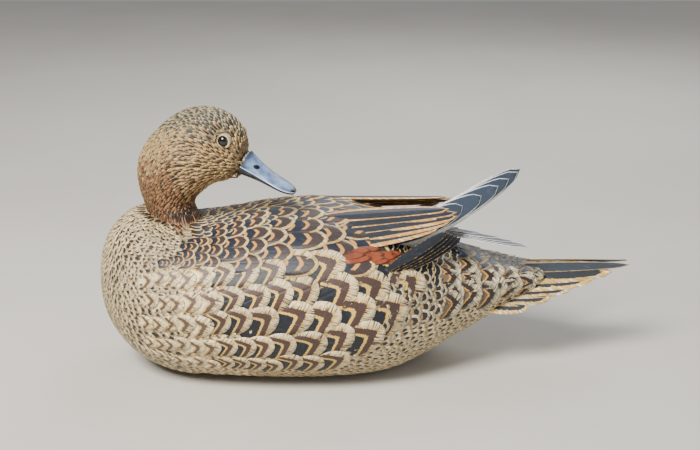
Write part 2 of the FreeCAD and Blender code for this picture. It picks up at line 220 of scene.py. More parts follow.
def inside_rim(b, given, along, side, wander):
    """1 inside the margin that runs round the feather, 0 on it."""
    past = b.sum("DIVIDE", b.sum("SUBTRACT", along, given["Shoulder"]),
                 b.sum("SUBTRACT", 1.0, given["Shoulder"]))
    past = b.sum("MAXIMUM", past, 0.0)
    rim = b.sum("SQRT", b.sum("ADD", b.sum("MULTIPLY", past, past), b.sum("MULTIPLY", side, side)))
    return b.fall(b.sum("ADD", rim, wander), given["Rim"], b.sum("ADD", given["Rim"], PAINT_EDGE))


def margin_colour(b, given, depth, strands, hairs):
    """The pale margin, tinged beside the chevron and crossed by dark hairs."""
    close = b.step(depth, b.sum("SUBTRACT", given["Margin End"], 0.45), given["Margin End"])
    tinge = b.sum("MULTIPLY", b.step(strands, 0.34, 0.52), b.sum("ADD", 0.2, b.sum("MULTIPLY", close, 0.8)))
    margin = b.mix(tinge, given["Margin"], given["Margin Tinge"])
    dark_hair = b.sum("MULTIPLY", b.step(hairs, 0.53, 0.61), given["Hairs"])
    return b.mix(dark_hair, margin, UMBER)


def marked_colour(b, given, depth, strands, within):
    """The chevron, its thin line, the dark centre, the bar across it and a slate sheen."""
    line = b.sum("MULTIPLY", within, reached(b, depth, given["Chevron End"]))
    centre = reached(b, depth, given["Line End"])
    bar = b.sum("MULTIPLY", reached(b, depth, given["Bar Start"]),
                b.sum("SUBTRACT", 1.0, reached(b, depth, given["Bar End"])))
    bar = b.sum("MULTIPLY", bar, within)
    marked = b.mix(line, given["Chevron"], given["Line"])
    marked = b.mix(centre, marked, given["Centre"])
    marked = b.mix(bar, marked, given["Line"])
    sheen = b.sum("MULTIPLY", b.sum("SUBTRACT", strands, 0.5), 0.9)
    return b.mix(b.sum("MULTIPLY", b.step(sheen, 0.04, 0.3), 0.35), marked, PALE_SLATE)


def feather_paint_group():
    """One painted feather: pale ragged margin, a dark chevron, a thin line and a dark centre."""
    tree, given, out = new_group("feather_paint", FEATHER_INPUTS, [("Color", "colour"), ("Height", "value")])
    b = Bench(tree)
    along, across = b.uv("Vane")
    seed, tone = b.uv("Shade")
    side = b.sum("MULTIPLY", b.sum("SUBTRACT", across, 0.5), 2.0)
    out_from_quill = b.sum("ABSOLUTE", side)
    reach = b.sum("MULTIPLY", along, given["Aspect"])
    strands, hairs = barb_noises(b, given, reach, side, seed)
    wander = b.sum("MULTIPLY", b.sum("SUBTRACT", strands, 0.5), given["Ragged"])
    depth = feather_depth(b, given, reach, side, wander)
    within = b.fall(out_from_quill, given["Line Reach"], b.sum("ADD", given["Line Reach"], LINE_FADE))
    chevron = b.sum("MULTIPLY", inside_rim(b, given, along, side, wander),
                    reached(b, depth, given["Margin End"]))
    colour = b.mix(chevron, margin_colour(b, given, depth, strands, hairs),
                   marked_colour(b, given, depth, strands, within))
    value = b.sum("ADD", 1.0, b.sum("MULTIPLY", b.sum("SUBTRACT", tone, 0.5), given["Variation"]))
    toned = b.node("ShaderNodeHueSaturation", {"Value": value, "Color": colour})
    b.plug(out["Color"], toned.outputs["Color"])
    quill = b.fall(out_from_quill, 0.0, QUILL_WIDTH)
    b.plug(out["Height"], b.sum("ADD", strands, b.sum("MULTIPLY", quill, 0.6)))
    return tree


FEATHER_PAINT = feather_paint_group()


def painted(name, values, rough=0.5, relief=0.35):
    """A feather paint in satin oils, with burned-in barbs as a fine relief."""
    material, b, shader = new_material(name)
    group = b.node("ShaderNodeGroup", node_tree=FEATHER_PAINT)
    for title, value in values.items():
        group.inputs[title].default_value = value
    b.plug(shader.inputs["Base Color"], group.outputs["Color"])
    b.plug(shader.inputs["Normal"], b.bump(group.outputs["Height"], relief, 0.0004))
    shader.inputs["Roughness"].default_value = rough
    return material


def plain(name, light, dark, rough, scale, metal=0.0, relief=0.2, stretch=(1, 1, 1), coat=0.0):
    """A solid finish that drifts between two tones, with a fine surface."""
    material, b, shader = new_material(name)
    place = b.node("ShaderNodeMapping", {"Scale": stretch})
    b.plug(place.inputs["Vector"], b.node("ShaderNodeTexCoord").outputs["Object"])
    drift = b.noise(place.outputs[0], scale, 4.0, 0.6)
    grain = b.noise(place.outputs[0], scale * 6, 3.0, 0.6)
    b.plug(shader.inputs["Base Color"], b.mix(b.step(drift, 0.3, 0.7), dark, light))
    b.plug(shader.inputs["Roughness"], b.sum("ADD", rough, b.sum("MULTIPLY", grain, 0.15)))
    b.plug(shader.inputs["Normal"], b.bump(grain, relief, 0.0003))
    shader.inputs["Metallic"].default_value = metal
    shader.inputs["Coat Weight"].default_value = coat
    return material


# ------------------------------------------------------------------ surfaces of the carving


def surface_of(*nodes):
    """A search tree over the outer skin of some carved nodes."""
    points, faces = [], []
    for name in nodes:
        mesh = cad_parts[name].data
        start = len(points)
        points += [v.co.copy() for v in mesh.vertices]
        faces += [[start + i for i in p.vertices] for p in mesh.polygons]
    return BVHTree.FromPolygons(points, faces)


HULL_SKIN = surface_of("body_top", "body_bottom")
HEAD_SKIN = surface_of("head")
BODY_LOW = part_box("body_top")[0]
NECK = Vector((BODY_LOW.x + 0.056, 0, 0.116))
BREAST_CORE = Vector((BODY_LOW.x + 0.05, 0, 0.066))
BREAST_RADIUS = 0.072
RAY_START = 0.2


def hull_core(x):
    """A point inside the hull at this station, about level with its widest line."""
    rise = max(0.0, x - 0.04) * 0.13 + max(0.0, -0.18 - x) * 0.3
    return Vector((x, 0, 0.060 + rise))


def cast_in(core, way):
    """Where a ray from outside towards a core meets the skin, and the outward normal; None if it misses."""
    spot, normal, _, _ = HULL_SKIN.ray_cast(core + way * RAY_START, -way)
    if spot is None:
        return None
    return spot, normal if normal.dot(way) > 0 else -normal


def hull_point(x, girth):
    """The skin at a station and an angle round it: 0 is the keel, 90 a side, 180 the back.

    The bird's left side has negative angles.
    """
    angle = math.radians(girth)
    return cast_in(hull_core(x), Vector((0, math.sin(angle), -math.cos(angle))))


def breast_point(turn, lift):
    """The skin in front, by the heading and the height angle seen from inside the breast."""
    a, e = math.radians(turn), math.radians(lift)
    way = Vector((-math.cos(a) * math.cos(e), math.sin(a) * math.cos(e), math.sin(e)))
    return cast_in(BREAST_CORE, way)


def girth_radius(x, girth):
    """About how far out the skin lies here, kept within what the spacing of feathers needs."""
    found = hull_point(x, girth)
    spot = found[0] if found else hull_core(x)
    return min(0.08, max(0.012, spot.yz.length * 0.9))


# ------------------------------------------------------------------ feathers laid on a surface

FINE_GRID = ((0.0, 0.2, 0.4, 0.58, 0.74, 0.87, 0.96, 1.0), (-1.0, -0.55, 0.0, 0.55, 1.0))
SMALL_GRID = ((0.0, 0.45, 0.78, 1.0), (-1.0, 0.0, 1.0))
ROOT_WIDTH = 0.55
ROOT_SPREAD = 1.6
LEAST_WIDTH = 0.04
ARCH = 0.25
SINK = 0.7
GROUND_GAP = 0.0004


def above_keel(point):
    """Keeps plumage off the ground under the flat keel."""
    point.z = max(point.z, GROUND_GAP)
    return point


def rim_of(rows, across):
    """The grid places round the edge of a feather, in order."""
    edge = [(i, 0) for i in range(rows)]
    edge += [(rows - 1, j) for j in range(1, across)]
    edge += [(i, across - 1) for i in range(rows - 2, -1, -1)]
    return edge + [(0, j) for j in range(across - 2, 0, -1)]


def ride_hull(mesh, layers, material):
    """Makes an object of a mesh, with its paint coordinates and material, fixed to the hull."""
    corners = np.zeros(len(mesh.loops), int)
    mesh.loops.foreach_get("vertex_index", corners)
    for title, data in layers:
        layer = mesh.uv_layers.new(name=title)
        layer.data.foreach_set("uv", np.array(data)[corners].astype(np.float32).ravel())
    mesh.polygons.foreach_set("use_smooth", [True] * len(mesh.polygons))
    mesh.materials.append(material)
    made = bpy.data.objects.new(mesh.name, mesh)
    bpy.context.scene.collection.objects.link(made)
    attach(made, HULL)
    return made


class Tract:
    """Gathers many feathers into one mesh object, each a closed shell with its own paint coordinates."""

    def __init__(self, name, skin, grid=FINE_GRID):
        self.name, self.skin = name, skin
        self.along, self.across = grid
        self.points, self.faces, self.vane, self.shade = [], [], [], []

    def add(self, spot, normal, way, length, half, lift=(0.0, 1.0), shoulder=0.45):
        """Lays one feather, its root at the spot; lift is its height at root and tip in millimetres."""
        normal = normal.normalized()
        way = (way - normal * way.dot(normal)).normalized()
        over = normal.cross(way)
        marks = dice.random(), dice.random()
        rows = []
        for s in self.along:
            past = max(0.0, (s - shoulder) / (1 - shoulder))
            width = math.sqrt(max(0.0, 1 - past * past)) * min(1.0, ROOT_WIDTH + ROOT_SPREAD * s)
            row = []
            for w in self.across:
                y = w * max(width, LEAST_WIDTH)
                near, out = self.under(spot + way * (s * length) + over * (y * half), normal)
                height = lift[0] + (lift[1] - lift[0]) * s + ARCH * (1 - abs(w) ** 2)
                row.append((near, out, height * MM, s, y))
            rows.append(row)
        self.close(rows, marks)

    def under(self, aim, normal):
        """The skin nearest to a point, and its normal on the feather's own side."""
        near, out, _, _ = self.skin.find_nearest(aim)
        if out.dot(normal) < 0:
            out = -out
        return near, out

    def close(self, rows, marks):
        """Makes a closed shell of a feather: its upper grid, a rim, and an underside sunk in the skin."""
        start, across = len(self.points), len(self.across)
        for row in rows:
            for near, out, height, s, y in row:
                self.put(near + out * height, s, y, marks)
        for i in range(len(rows) - 1):
            for j in range(across - 1):
                a = start + i * across + j
                self.faces.append((a, a + 1, a + across + 1, a + across))
        edge = rim_of(len(rows), across)
        low, count = len(self.points), len(edge)
        for i, j in edge:
            near, out, _, s, y = rows[i][j]
            self.put(near - out * (SINK * MM), s, y, marks)
        for k in range(count):
            n = (k + 1) % count
            a, b = edge[k], edge[n]
            self.faces.append((start + a[0] * across + a[1], start + b[0] * across + b[1], low + n, low + k))
        self.faces.append(tuple(low + k for k in reversed(range(count))))

    def put(self, point, s, y, marks):
        self.points.append(above_keel(point))
        self.vane.append((s, y / 2 + 0.5))
        self.shade.append(marks)

    def build(self, material):
        """Makes the mesh object; each feather has a cell of its own in the baking layer."""
        feather_size = len(self.along) * len(self.across) + 2 * (len(self.along) + len(self.across)) - 4
        mesh = bpy.data.meshes.new(self.name)
        mesh.from_pydata([tuple(p) for p in self.points], [], self.faces)
        columns = math.ceil(math.sqrt(len(self.points) / feather_size))
        which = np.arange(len(self.points)) // feather_size
        corner = np.stack([which % columns, which // columns], 1)
        cell = (corner + 0.05 + 0.9 * np.array(self.vane)) / columns
        return ride_hull(mesh, (("OFBake", cell), ("Vane", self.vane), ("Shade", self.shade)), material)


def hull_flow(spot):
    """The way the plumage lies: away from the neck in front, then rearwards along the body."""
    from_neck = spot - NECK
    near = math.exp(-max(0.0, from_neck.length - 0.02) / 0.035)
    front = max(0.0, min(1.0, (-0.165 - spot.x) / 0.045))
    pull = max(near, front * 0.9)
    rearwards = Vector((1, 0, 0))
    return rearwards * (1 - pull) + from_neck.normalized() * pull


def spread(tract, side, stations, girths, size, way, lift, jitter=0.18, pack=(0.5, 1.45), shoulder=0.45,
           front_slope=0.0):
    """Lays feathers in staggered columns from the front station to the rear one.

    size and way are functions of the station and the girth; pack is the spacing along and across as
    shares of a feather's length and half width.
    """
    x = stations[0]
    column = 0
    while x < stations[1]:
        middle = (girths[0] + girths[1]) / 2
        length, _ = size(x, middle)
        girth = girths[0]
        first = True
        while girth < girths[1]:
            length_here, half = size(x, girth)
            step = math.degrees(half * pack[1] / girth_radius(x, side * girth))
            if first:
                girth += step * (0.5 if column % 2 else 0.0)
                first = False
            dx = dice.uniform(-jitter, jitter) * length_here
            dg = dice.uniform(-jitter, jitter) * step
            found = hull_point(x + dx, side * (girth + dg))
            wanted = girth < girths[1] and x >= stations[0] + (girth - girths[0]) * front_slope
            if found and wanted and found[0].z >= KEEL_CLEAR:
                spot, normal = found
                stretch = dice.uniform(0.92, 1.08)
                tract.add(spot, normal, way(spot, girth), length_here * stretch, half, lift, shoulder)
            girth += step
        x += length * pack[0]
        column += 1


def between(value, low, high):
    return max(0.0, min(1.0, (value - low) / (high - low)))


def blend(a, b, share):
    return a + (b - a) * share


BREAST_PAINT = painted("breast_paint", {
    "Margin": CREAM, "Margin Tinge": BUFF, "Chevron": BARK, "Line": BARK, "Centre": BARK,
    "Aspect": 3.0, "Margin End": 0.50, "Chevron End": 1.6, "Line End": 1.7, "Rim": 0.46, "Point": 1.0,
    "Ragged": 0.5, "Barbs": 5.0, "Hairs": 0.7, "Variation": 0.5}, relief=0.5)
SHOULDER_PAINT = painted("lower_breast_paint", {
    "Margin": CREAM, "Margin Tinge": WARM_CREAM, "Chevron": (0.085, 0.055, 0.040, 1), "Line": WARM_CREAM,
    "Centre": CREAM, "Aspect": 2.6, "Margin End": 0.40, "Chevron End": 0.92, "Line End": 1.15,
    "Rim": 0.78, "Point": 1.2, "Ragged": 0.3, "Barbs": 6.0, "Hairs": 1.0}, relief=0.5)
FLANK_PAINT = painted("flank_paint", {
    "Margin": CREAM, "Margin Tinge": WARM_CREAM, "Chevron": UMBER, "Line": GOLD, "Centre": NAVY,
    "Aspect": 2.8, "Margin End": 0.22, "Chevron End": 0.76, "Line End": 0.98, "Rim": 0.88, "Point": 1.35,
    "Ragged": 0.13, "Barbs": 9.0, "Hairs": 1.0}, relief=0.6)
SCAPULAR_PAINT = painted("scapular_paint", {
    "Margin": CREAM, "Margin Tinge": WARM_CREAM, "Chevron": (0.035, 0.022, 0.020, 1), "Line": OCHRE,
    "Centre": (0.006, 0.011, 0.022, 1), "Aspect": 3.4, "Margin End": 0.12, "Chevron End": 0.86,
    "Line End": 1.12, "Bar Start": 1.85, "Bar End": 2.1, "Rim": 0.86, "Point": 0.75, "Ragged": 0.12,
    "Barbs": 8.0, "Hairs": 0.4, "Line Reach": 0.42})
MANTLE_PAINT = painted("mantle_paint", {
    "Margin": CREAM, "Margin Tinge": WARM_CREAM, "Chevron": SLATE, "Line": UMBER, "Centre": BARK,
    "Aspect": 3.4, "Margin End": 0.14, "Chevron End": 1.2, "Line End": 1.5, "Rim": 0.80, "Point": 0.5,
    "Ragged": 0.16, "Barbs": 7.0, "Hairs": 0.3})
SCALLOP_PAINT = painted("rump_scallop_paint", {
    "Margin": BUFF, "Margin Tinge": CREAM, "Chevron": NAVY, "Line": WARM_CREAM, "Centre": NAVY,
    "Aspect": 2.0, "Margin End": 0.10, "Chevron End": 0.62, "Line End": 0.74, "Rim": 0.84, "Point": 0.35,
    "Ragged": 0.12, "Barbs": 6.0, "Hairs": 0.3})
SPOT_PAINT = painted("rump_spot_paint", {
    "Margin": (0.42, 0.36, 0.24, 1), "Margin Tinge": CREAM, "Chevron": BARK, "Line": BARK, "Centre": BUFF,
    "Aspect": 2.2, "Margin End": 0.42, "Chevron End": 1.15, "Line End": 1.2, "Rim": 0.58, "Point": 0.3,
    "Ragged": 0.3, "Barbs": 6.0, "Hairs": 0.8})
COVERT_PAINT = painted("tail_covert_paint", {
    "Margin": CREAM, "Margin Tinge": (0.20, 0.19, 0.14, 1), "Chevron": BARK, "Line": OCHRE,
    "Centre": (0.12, 0.085, 0.045, 1),
    "Aspect": 2.9, "Margin End": 0.22, "Chevron End": 0.66, "Line End": 0.80, "Rim": 0.86, "Point": 1.2,
    "Ragged": 0.16, "Barbs": 8.0, "Hairs": 1.0}, relief=0.6)
# Painted shade: the upper tail coverts are painted dark slate all over, much darker than the side coverts,
# for the shade over the top of the rump.
SHADED_COVERT_PAINT = painted("upper_tail_covert_paint", {
    "Margin": (0.16, 0.16, 0.13, 1), "Margin Tinge": BUFF, "Chevron": SLATE, "Line": PALE_SLATE,
    "Centre": NAVY,
    "Aspect": 2.9, "Margin End": 0.18, "Chevron End": 0.9, "Line End": 1.0, "Rim": 0.84, "Point": 0.9,
    "Ragged": 0.25, "Barbs": 8.0, "Hairs": 0.7})
VENT_PAINT = painted("vent_paint", {
    "Margin": (0.44, 0.31, 0.13, 1), "Margin Tinge": CREAM, "Chevron": BARK, "Line": BARK,
    "Centre": (0.36, 0.25, 0.10, 1), "Aspect": 3.2, "Margin End": 0.7, "Chevron End": 1.9,
    "Line End": 1.95, "Rim": 0.40, "Point": 0.5, "Ragged": 0.3, "Barbs": 6.0, "Hairs": 0.7})
BELLY_PAINT = painted("belly_paint", {
    "Margin": (0.46, 0.34, 0.16, 1), "Margin Tinge": CREAM, "Chevron": (0.055, 0.030, 0.018, 1),
    "Line": WARM_CREAM, "Centre": BUFF, "Aspect": 2.5, "Margin End": 0.6, "Chevron End": 1.2,
    "Line End": 1.4, "Rim": 0.6, "Point": 1.0, "Ragged": 0.5, "Barbs": 6.0, "Hairs": 0.7})
RUST_PAINT = painted("wing_patch_paint", {
    "Margin": RUST, "Margin Tinge": (0.07, 0.014, 0.006, 1), "Chevron": (0.24, 0.052, 0.013, 1),
    "Line": RUST,
    "Centre": RUST, "Aspect": 3.0, "Margin End": 0.2, "Chevron End": 1.2, "Line End": 1.3, "Rim": 0.8,
    "Point": 0.6, "Ragged": 0.3, "Barbs": 7.0, "Hairs": 0.3})
STREAK = {"Aspect": 4.4, "Margin End": 0.7, "Chevron End": 4.0, "Line End": 4.1, "Rim": 0.44, "Point": 0.8,
          "Ragged": 0.35, "Barbs": 4.0, "Hairs": 0.5, "Variation": 0.5}
CROWN_PAINT = painted("crown_paint", dict(STREAK, **{
    "Margin": (0.44, 0.38, 0.22, 1), "Margin Tinge": (0.13, 0.10, 0.05, 1),
    "Chevron": (0.010, 0.010, 0.009, 1),
    "Rim": 0.62}), rough=0.55)
CHEEK_PAINT = painted("cheek_paint", dict(STREAK, **{
    "Margin": (0.56, 0.43, 0.22, 1), "Margin Tinge": (0.32, 0.18, 0.06, 1),
    "Chevron": (0.014, 0.010, 0.008, 1),
    "Rim": 0.42}), rough=0.55)
NECK_PAINT = painted("neck_paint", dict(STREAK, **{
    "Margin": (0.36, 0.22, 0.10, 1), "Margin Tinge": (0.19, 0.075, 0.024, 1),
    "Chevron": (0.010, 0.007, 0.006, 1),
    "Rim": 0.50}), rough=0.55)


# ------------------------------------------------------------------ the plumage of the hull


def tilted(degrees, spot):
    """Rearwards and up the side by this many degrees, eased in behind the breast."""
    angle = math.radians(degrees * between(spot.x, -0.19, -0.10))
    return Vector((math.cos(angle), 0, math.sin(angle)))


def mantle_way(spot, girth):
    return hull_flow(spot)


def lower_breast_way(spot, girth):
    return tilted(14, spot) + hull_flow(spot) * 0.4


def even(length, half):
    """Feathers of one length and half width all over a tract."""
    return lambda x, girth: (length, half)


def rising(slope):
    """Feathers that all lie rearwards, with this rise."""
    return lambda spot, girth: Vector((1, 0, slope))


def flank_size(x, girth):
    grown = between(x, -0.17, -0.02)
    low = 1 - 0.35 * between(88 - girth, 0, 26)
    length = blend(0.017, 0.052, grown) * low
    return length, length * 0.36


# Each row's girth, the station where it ends, and its start as a share of the gap between feathers.
FLANK_ROWS = ((64, -0.040, 0.0), (75.5, -0.016, 0.5), (88, 0.004, 0.0), (101, 0.010, 0.5), (114, 0.002, 0.1))
FLANK_START = -0.180
MARKED_FROM = -0.118


def lay_flank(side, name):
    """Rows of large feathers along the side; the front ones are smaller and plainly marked."""
    front, rear = Tract(name + "_fore_flank_plumage", HULL_SKIN), Tract(name + "_flank_plumage", HULL_SKIN)
    for girth, end, shift in FLANK_ROWS:
        x = FLANK_START + shift * flank_size(FLANK_START, girth)[0] * 0.55
        while x < end:
            length, half = flank_size(x, girth)
            station = x + dice.uniform(-0.06, 0.06) * length
            spot, normal = hull_point(station, side * (girth + dice.uniform(-1.6, 1.6)))
            way = tilted(27 + dice.uniform(-3, 3), spot)
            tract = rear if x + length * 0.5 > MARKED_FROM else front
            tract.add(spot, normal, way, length * dice.uniform(0.92, 1.08), half, (0.5, 2.0), 0.5)
            x += length * 0.53
    front.build(SHOULDER_PAINT)
    rear.build(FLANK_PAINT)


def scapular_size(x, girth):
    grown = between(x, -0.165, -0.07)
    length = blend(0.0105, 0.044, grown)
    return length, length * blend(0.36, 0.27, grown)


def mantle_size(x, girth):
    length = blend(0.012, 0.036, between(x, -0.14, -0.03))
    return length, length * 0.28


def scapular_way(spot, girth):
    return Vector((1, 0, -0.12 + 0.25 * between(girth, 130, 165)))


def lay_breast():
    """Small scales over the front of the body, from the neck down under the breast."""
    tract = Tract("breast_plumage", HULL_SKIN, SMALL_GRID)
    lift_angle = 78.0
    row = 0
    while lift_angle > -62:
        ring = max(0.15, math.cos(math.radians(lift_angle)))
        small = 0.0052 + 0.0030 * between(lift_angle, 20, -50)
        step = math.degrees(small * 0.95 / (BREAST_RADIUS * ring))
        turn = -112 + (step / 2 if row % 2 else 0)
        while turn < 112:
            found = breast_point(turn + dice.uniform(-0.3, 0.3) * step, lift_angle + dice.uniform(-0.8, 0.8))
            if found:
                spot, normal = found
                away = (spot.xy - NECK.xy).length
                on_seat = spot.z > NECK.z - 0.012 and away < 0.017
                behind = spot.x > -0.118 or (spot.x > -0.150 and spot.z < 0.108)
                if not on_seat and not behind:
                    tract.add(spot, normal, hull_flow(spot), small * 1.7, small * 0.52, (0.3, 1.3))
            turn += step
        lift_angle -= math.degrees(small * 0.62 / BREAST_RADIUS)
        row += 1
    return tract


# Name, paint, grid, stations, girths, size, way, height in millimetres at root and tip, and spacing.
TRACTS_UNDER_FLANK = (
    ("belly_plumage", BELLY_PAINT, SMALL_GRID, (-0.165, 0.10), (30, 72), even(0.012, 0.0042), rising(0.1),
     (0.0, 0.8), {}),
    ("vent_plumage", VENT_PAINT, SMALL_GRID, (-0.03, 0.135), (12, 92), even(0.012, 0.0034), rising(0.25),
     (0.1, 1.0), {}),
    ("rump_spots", SPOT_PAINT, SMALL_GRID, (0.006, 0.064), (88, 119), even(0.012, 0.0056), rising(0.1),
     (0.4, 1.6), {}),
    ("rump_scallops", SCALLOP_PAINT, FINE_GRID, (0.0, 0.075), (118, 180), even(0.015, 0.0085), rising(-0.1),
     (0.3, 1.4), {}),
    ("tail_coverts", COVERT_PAINT, FINE_GRID, (0.044, 0.112), (92, 142), even(0.033, 0.0125), rising(0.12),
     (-0.4, 2.6), {"jitter": 0.1}),
    # Painted shade: these upper coverts take the dark slate paint that stands for shade over the top of the
    # rump.
    ("upper_tail_coverts", SHADED_COVERT_PAINT, FINE_GRID, (0.062, 0.118), (138, 180), even(0.026, 0.0085),
     rising(-0.05), (0.6, 2.2), {"pack": (0.45, 1.5)}),
    ("wing_patch", RUST_PAINT, FINE_GRID, (-0.018, 0.010), (123, 132), even(0.021, 0.0030), rising(0.35),
     (1.6, 2.8), {"pack": (0.4, 1.4)}),
    ("lower_breast_plumage", SHOULDER_PAINT, FINE_GRID, (-0.198, -0.095), (50, 124), even(0.0125, 0.0050),
     lower_breast_way, (0.1, 0.9), {"pack": (0.52, 1.6)}),
)
TRACTS_OVER_FLANK = (
    ("mantle_plumage", MANTLE_PAINT, FINE_GRID, (-0.140, 0.004), (150, 181), mantle_size, mantle_way,
     (0.6, 1.8), {"pack": (0.45, 1.5)}),
    ("scapular_plumage", SCAPULAR_PAINT, FINE_GRID, (-0.162, -0.022), (124, 166), scapular_size,
     scapular_way, (0.8, 2.2), {"pack": (0.5, 1.5), "jitter": 0.14, "shoulder": 0.5, "front_slope": 0.0009}),
)


def lay_tracts(side, name, tracts):
    for title, paint, grid, stations, girths, size, way, lift, spacing in tracts:
        tract = Tract(name + "_" + title, HULL_SKIN, grid)
        spread(tract, side, stations, girths, size, way, lift, **spacing)
        tract.build(paint)


def lay_all_hull():
    lay_breast().build(BREAST_PAINT)
    for side, name in ((-1, "left"), (1, "right")):
        lay_tracts(side, name, TRACTS_UNDER_FLANK)
        lay_flank(side, name)
        lay_tracts(side, name, TRACTS_OVER_FLANK)


lay_all_hull()


# ------------------------------------------------------------------ the plumage of the head

def centre_of(node):
    low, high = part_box(node)
    return (Vector(low) + Vector(high)) / 2


BILL_LENGTH = 0.0465


def bill_axis():
    """The place where the bill leaves the face, its forward way and the way up from its mouth line."""
    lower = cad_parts["bill_lower"].data
    mouth = max((p for p in lower.polygons if p.normal.z > 0.5), key=lambda p: p.area)
    up = mouth.normal.copy()
    points = [v.co.copy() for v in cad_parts["bill_upper"].data.vertices]
    tip = max(points, key=lambda q: (q - NECK).length)
    across = up.cross(Vector((0, 0, 1))).normalized()
    forward = across.cross(up)
    if forward.dot(tip - NECK) < 0:
        forward = -forward
    tip = tip - up * (tip - mouth.center).dot(up)
    return tip - forward * BILL_LENGTH, forward, up


BILL_ROOT, BILL_WAY, BILL_UP = bill_axis()
EYES = (centre_of("eye_left"), centre_of("eye_right"))


def head_flow(spot):
    """Back from the bill over the face, then down the neck."""
    away = spot - BILL_ROOT
    down = between(away.length, 0.036, 0.088)
    neck_out = Vector((spot.x - NECK.x, spot.y, 0)) * 4.0
    return away.normalized() * (1 - down) + (Vector((-0.10, 0, -1.0)) + neck_out) * down


def scattered(mesh, gap, tries):
    """Points spread evenly over a mesh, no two nearer than the gap, with their normals."""
    corners = [[mesh.vertices[i].co for i in t.vertices] for t in mesh.loop_triangles]
    areas = np.array([t.area for t in mesh.loop_triangles])
    heaps = np.cumsum(areas) / areas.sum()
    taken, found = {}, []
    for _ in range(tries):
        which = int(np.searchsorted(heaps, dice.random()))
        u, v = dice.random(), dice.random()
        if u + v > 1:
            u, v = 1 - u, 1 - v
        a, b, c = corners[which]
        spot = a + (b - a) * u + (c - a) * v
        cell = tuple(int(math.floor(q / gap)) for q in spot)
        near = [other for dx in (-1, 0, 1) for dy in (-1, 0, 1) for dz in (-1, 0, 1)
                for other in taken.get((cell[0] + dx, cell[1] + dy, cell[2] + dz), ())]
        if all((spot - other).length > gap for other in near):
            taken.setdefault(cell, []).append(spot)
            found.append((spot, mesh.loop_triangles[which].normal.copy()))
    return found


def bare_on_head(spot, normal):
    """True where no feather grows: round the eyes, under the bill's root, and on hidden faces."""
    if min((spot - eye).length for eye in EYES) < 0.0058:
        return True
    if (spot - BILL_ROOT).length < 0.0135 and normal.dot(BILL_WAY) > 0.8:
        return True
    inside = (spot.xy - NECK.xy).length < 0.0125
    return spot.z < NECK.z + 0.004 or (inside and spot.z < NECK.z + 0.022)


def lay_head():
    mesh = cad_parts["head"].data
    mesh.calc_loop_triangles()
    tracts = {name: Tract(name + "_plumage", HEAD_SKIN, SMALL_GRID) for name in ("crown", "cheek", "neck")}
    for spot, normal in scattered(mesh, 0.00235, 36000):
        if bare_on_head(spot, normal):
            continue
        away = (spot - BILL_ROOT).length + dice.uniform(-0.012, 0.012)
        height = spot.z + dice.uniform(-0.010, 0.010)
        kind = "crown" if height > 0.196 + 0.1 * (NECK.x + 0.03 - spot.x) else "cheek"
        if away > 0.044 and height < 0.172:
            kind = "neck"
        face = between(away, 0.012, 0.05)
        length = blend(0.0048, 0.0118, face) * dice.uniform(0.85, 1.15)
        half = blend(0.0011, 0.0016, face)
        tracts[kind].add(spot, normal, head_flow(spot), length, half, (-0.1, 0.9), 0.6)
    tracts["crown"].build(CROWN_PAINT)
    tracts["cheek"].build(CHEEK_PAINT)
    tracts["neck"].build(NECK_PAINT)


def lay_collar():
    """Rings of feathers that carry the neck's plumage down over the joint with the body."""
    skin = surface_of("head", "body_top")
    collar = Tract("collar_plumage", skin, SMALL_GRID)
    for ring, height in enumerate((0.132, 0.128, 0.124, 0.120, 0.1165, 0.113)):
        for step in range(72):
            angle = math.radians(5.0 * step + 2.5 * (ring % 2) + dice.uniform(-1, 1))
            out = Vector((math.cos(angle), math.sin(angle), 0))
            level = height + dice.uniform(-0.0012, 0.0012)
            spot, normal, _, _ = skin.ray_cast(Vector((NECK.x, 0, level)) + out * 0.08, -out)
            if spot is None or (spot.xy - NECK.xy).length > 0.034:
                continue
            if normal.dot(out) < 0:
                normal = -normal
            collar.add(spot, normal, Vector((0, 0, -1)) + out * 0.55, 0.0095, 0.0015, (0.2, 1.0), 0.6)
    collar.build(NECK_PAINT)


lay_head()
lay_collar()


# ------------------------------------------------------------------ free feathers, in place of the blades


def blade_frame(node):
    """Root, tip, face normal and half width of a flat blade, read from its own mesh."""
    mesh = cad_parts[node].data
    points = np.array([v.co[:] for v in mesh.vertices])
    centre = points.mean(0)
    _, _, axes = np.linalg.svd(points - centre, full_matrices=False)
    reach = (points - centre) @ axes[0]
    if axes[0][0] < 0:
        axes[0], reach = -axes[0], -reach
    root = Vector(centre + axes[0] * reach.min())
    tip = Vector(centre + axes[0] * reach.max())
    face = Vector(axes[2])
    if face.z < 0:
        face = -face
    half = float(np.abs((points - centre) @ axes[1]).max())
    return root, tip, face, half


def quill_feather(name, node, material, widen=1.0, turn=0.0, **form):
    """A free feather that stands for one blade; turn rolls its face towards the bird's right side."""
    root, tip, face, half = blade_frame(node)
    face = face + Vector((0, turn, 0))
    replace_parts(vane_mesh(name, root, tip, face, half * widen, material, **form), node)


LONG_STEPS, SIDE_STEPS = 18, 9
VANE_THICKNESS = 0.9
QUILL_HEIGHT = 0.35


def vane_width(s, wide_at):
    """The share of its full width that a free feather has at this share of its length."""
    grow = min(1.0, 0.35 + 0.65 * math.sin(min(1.0, s / wide_at) * math.pi / 2))
    past = max(0.0, (s - wide_at) / (1 - wide_at))
    return grow * math.sqrt(max(0.0, 1 - past ** 2.2))


def vane_level(y, top):
    """How far a free feather's upper or lower face lies from its middle, thinning towards its edges."""
    half_thick = VANE_THICKNESS * MM * 0.5
    if not top:
        return -half_thick * (1 - 0.7 * y * y)
    ridge = QUILL_HEIGHT * MM * math.exp(-(y * 9) ** 2)
    return (half_thick + ridge) * (1 - 0.8 * y * y)


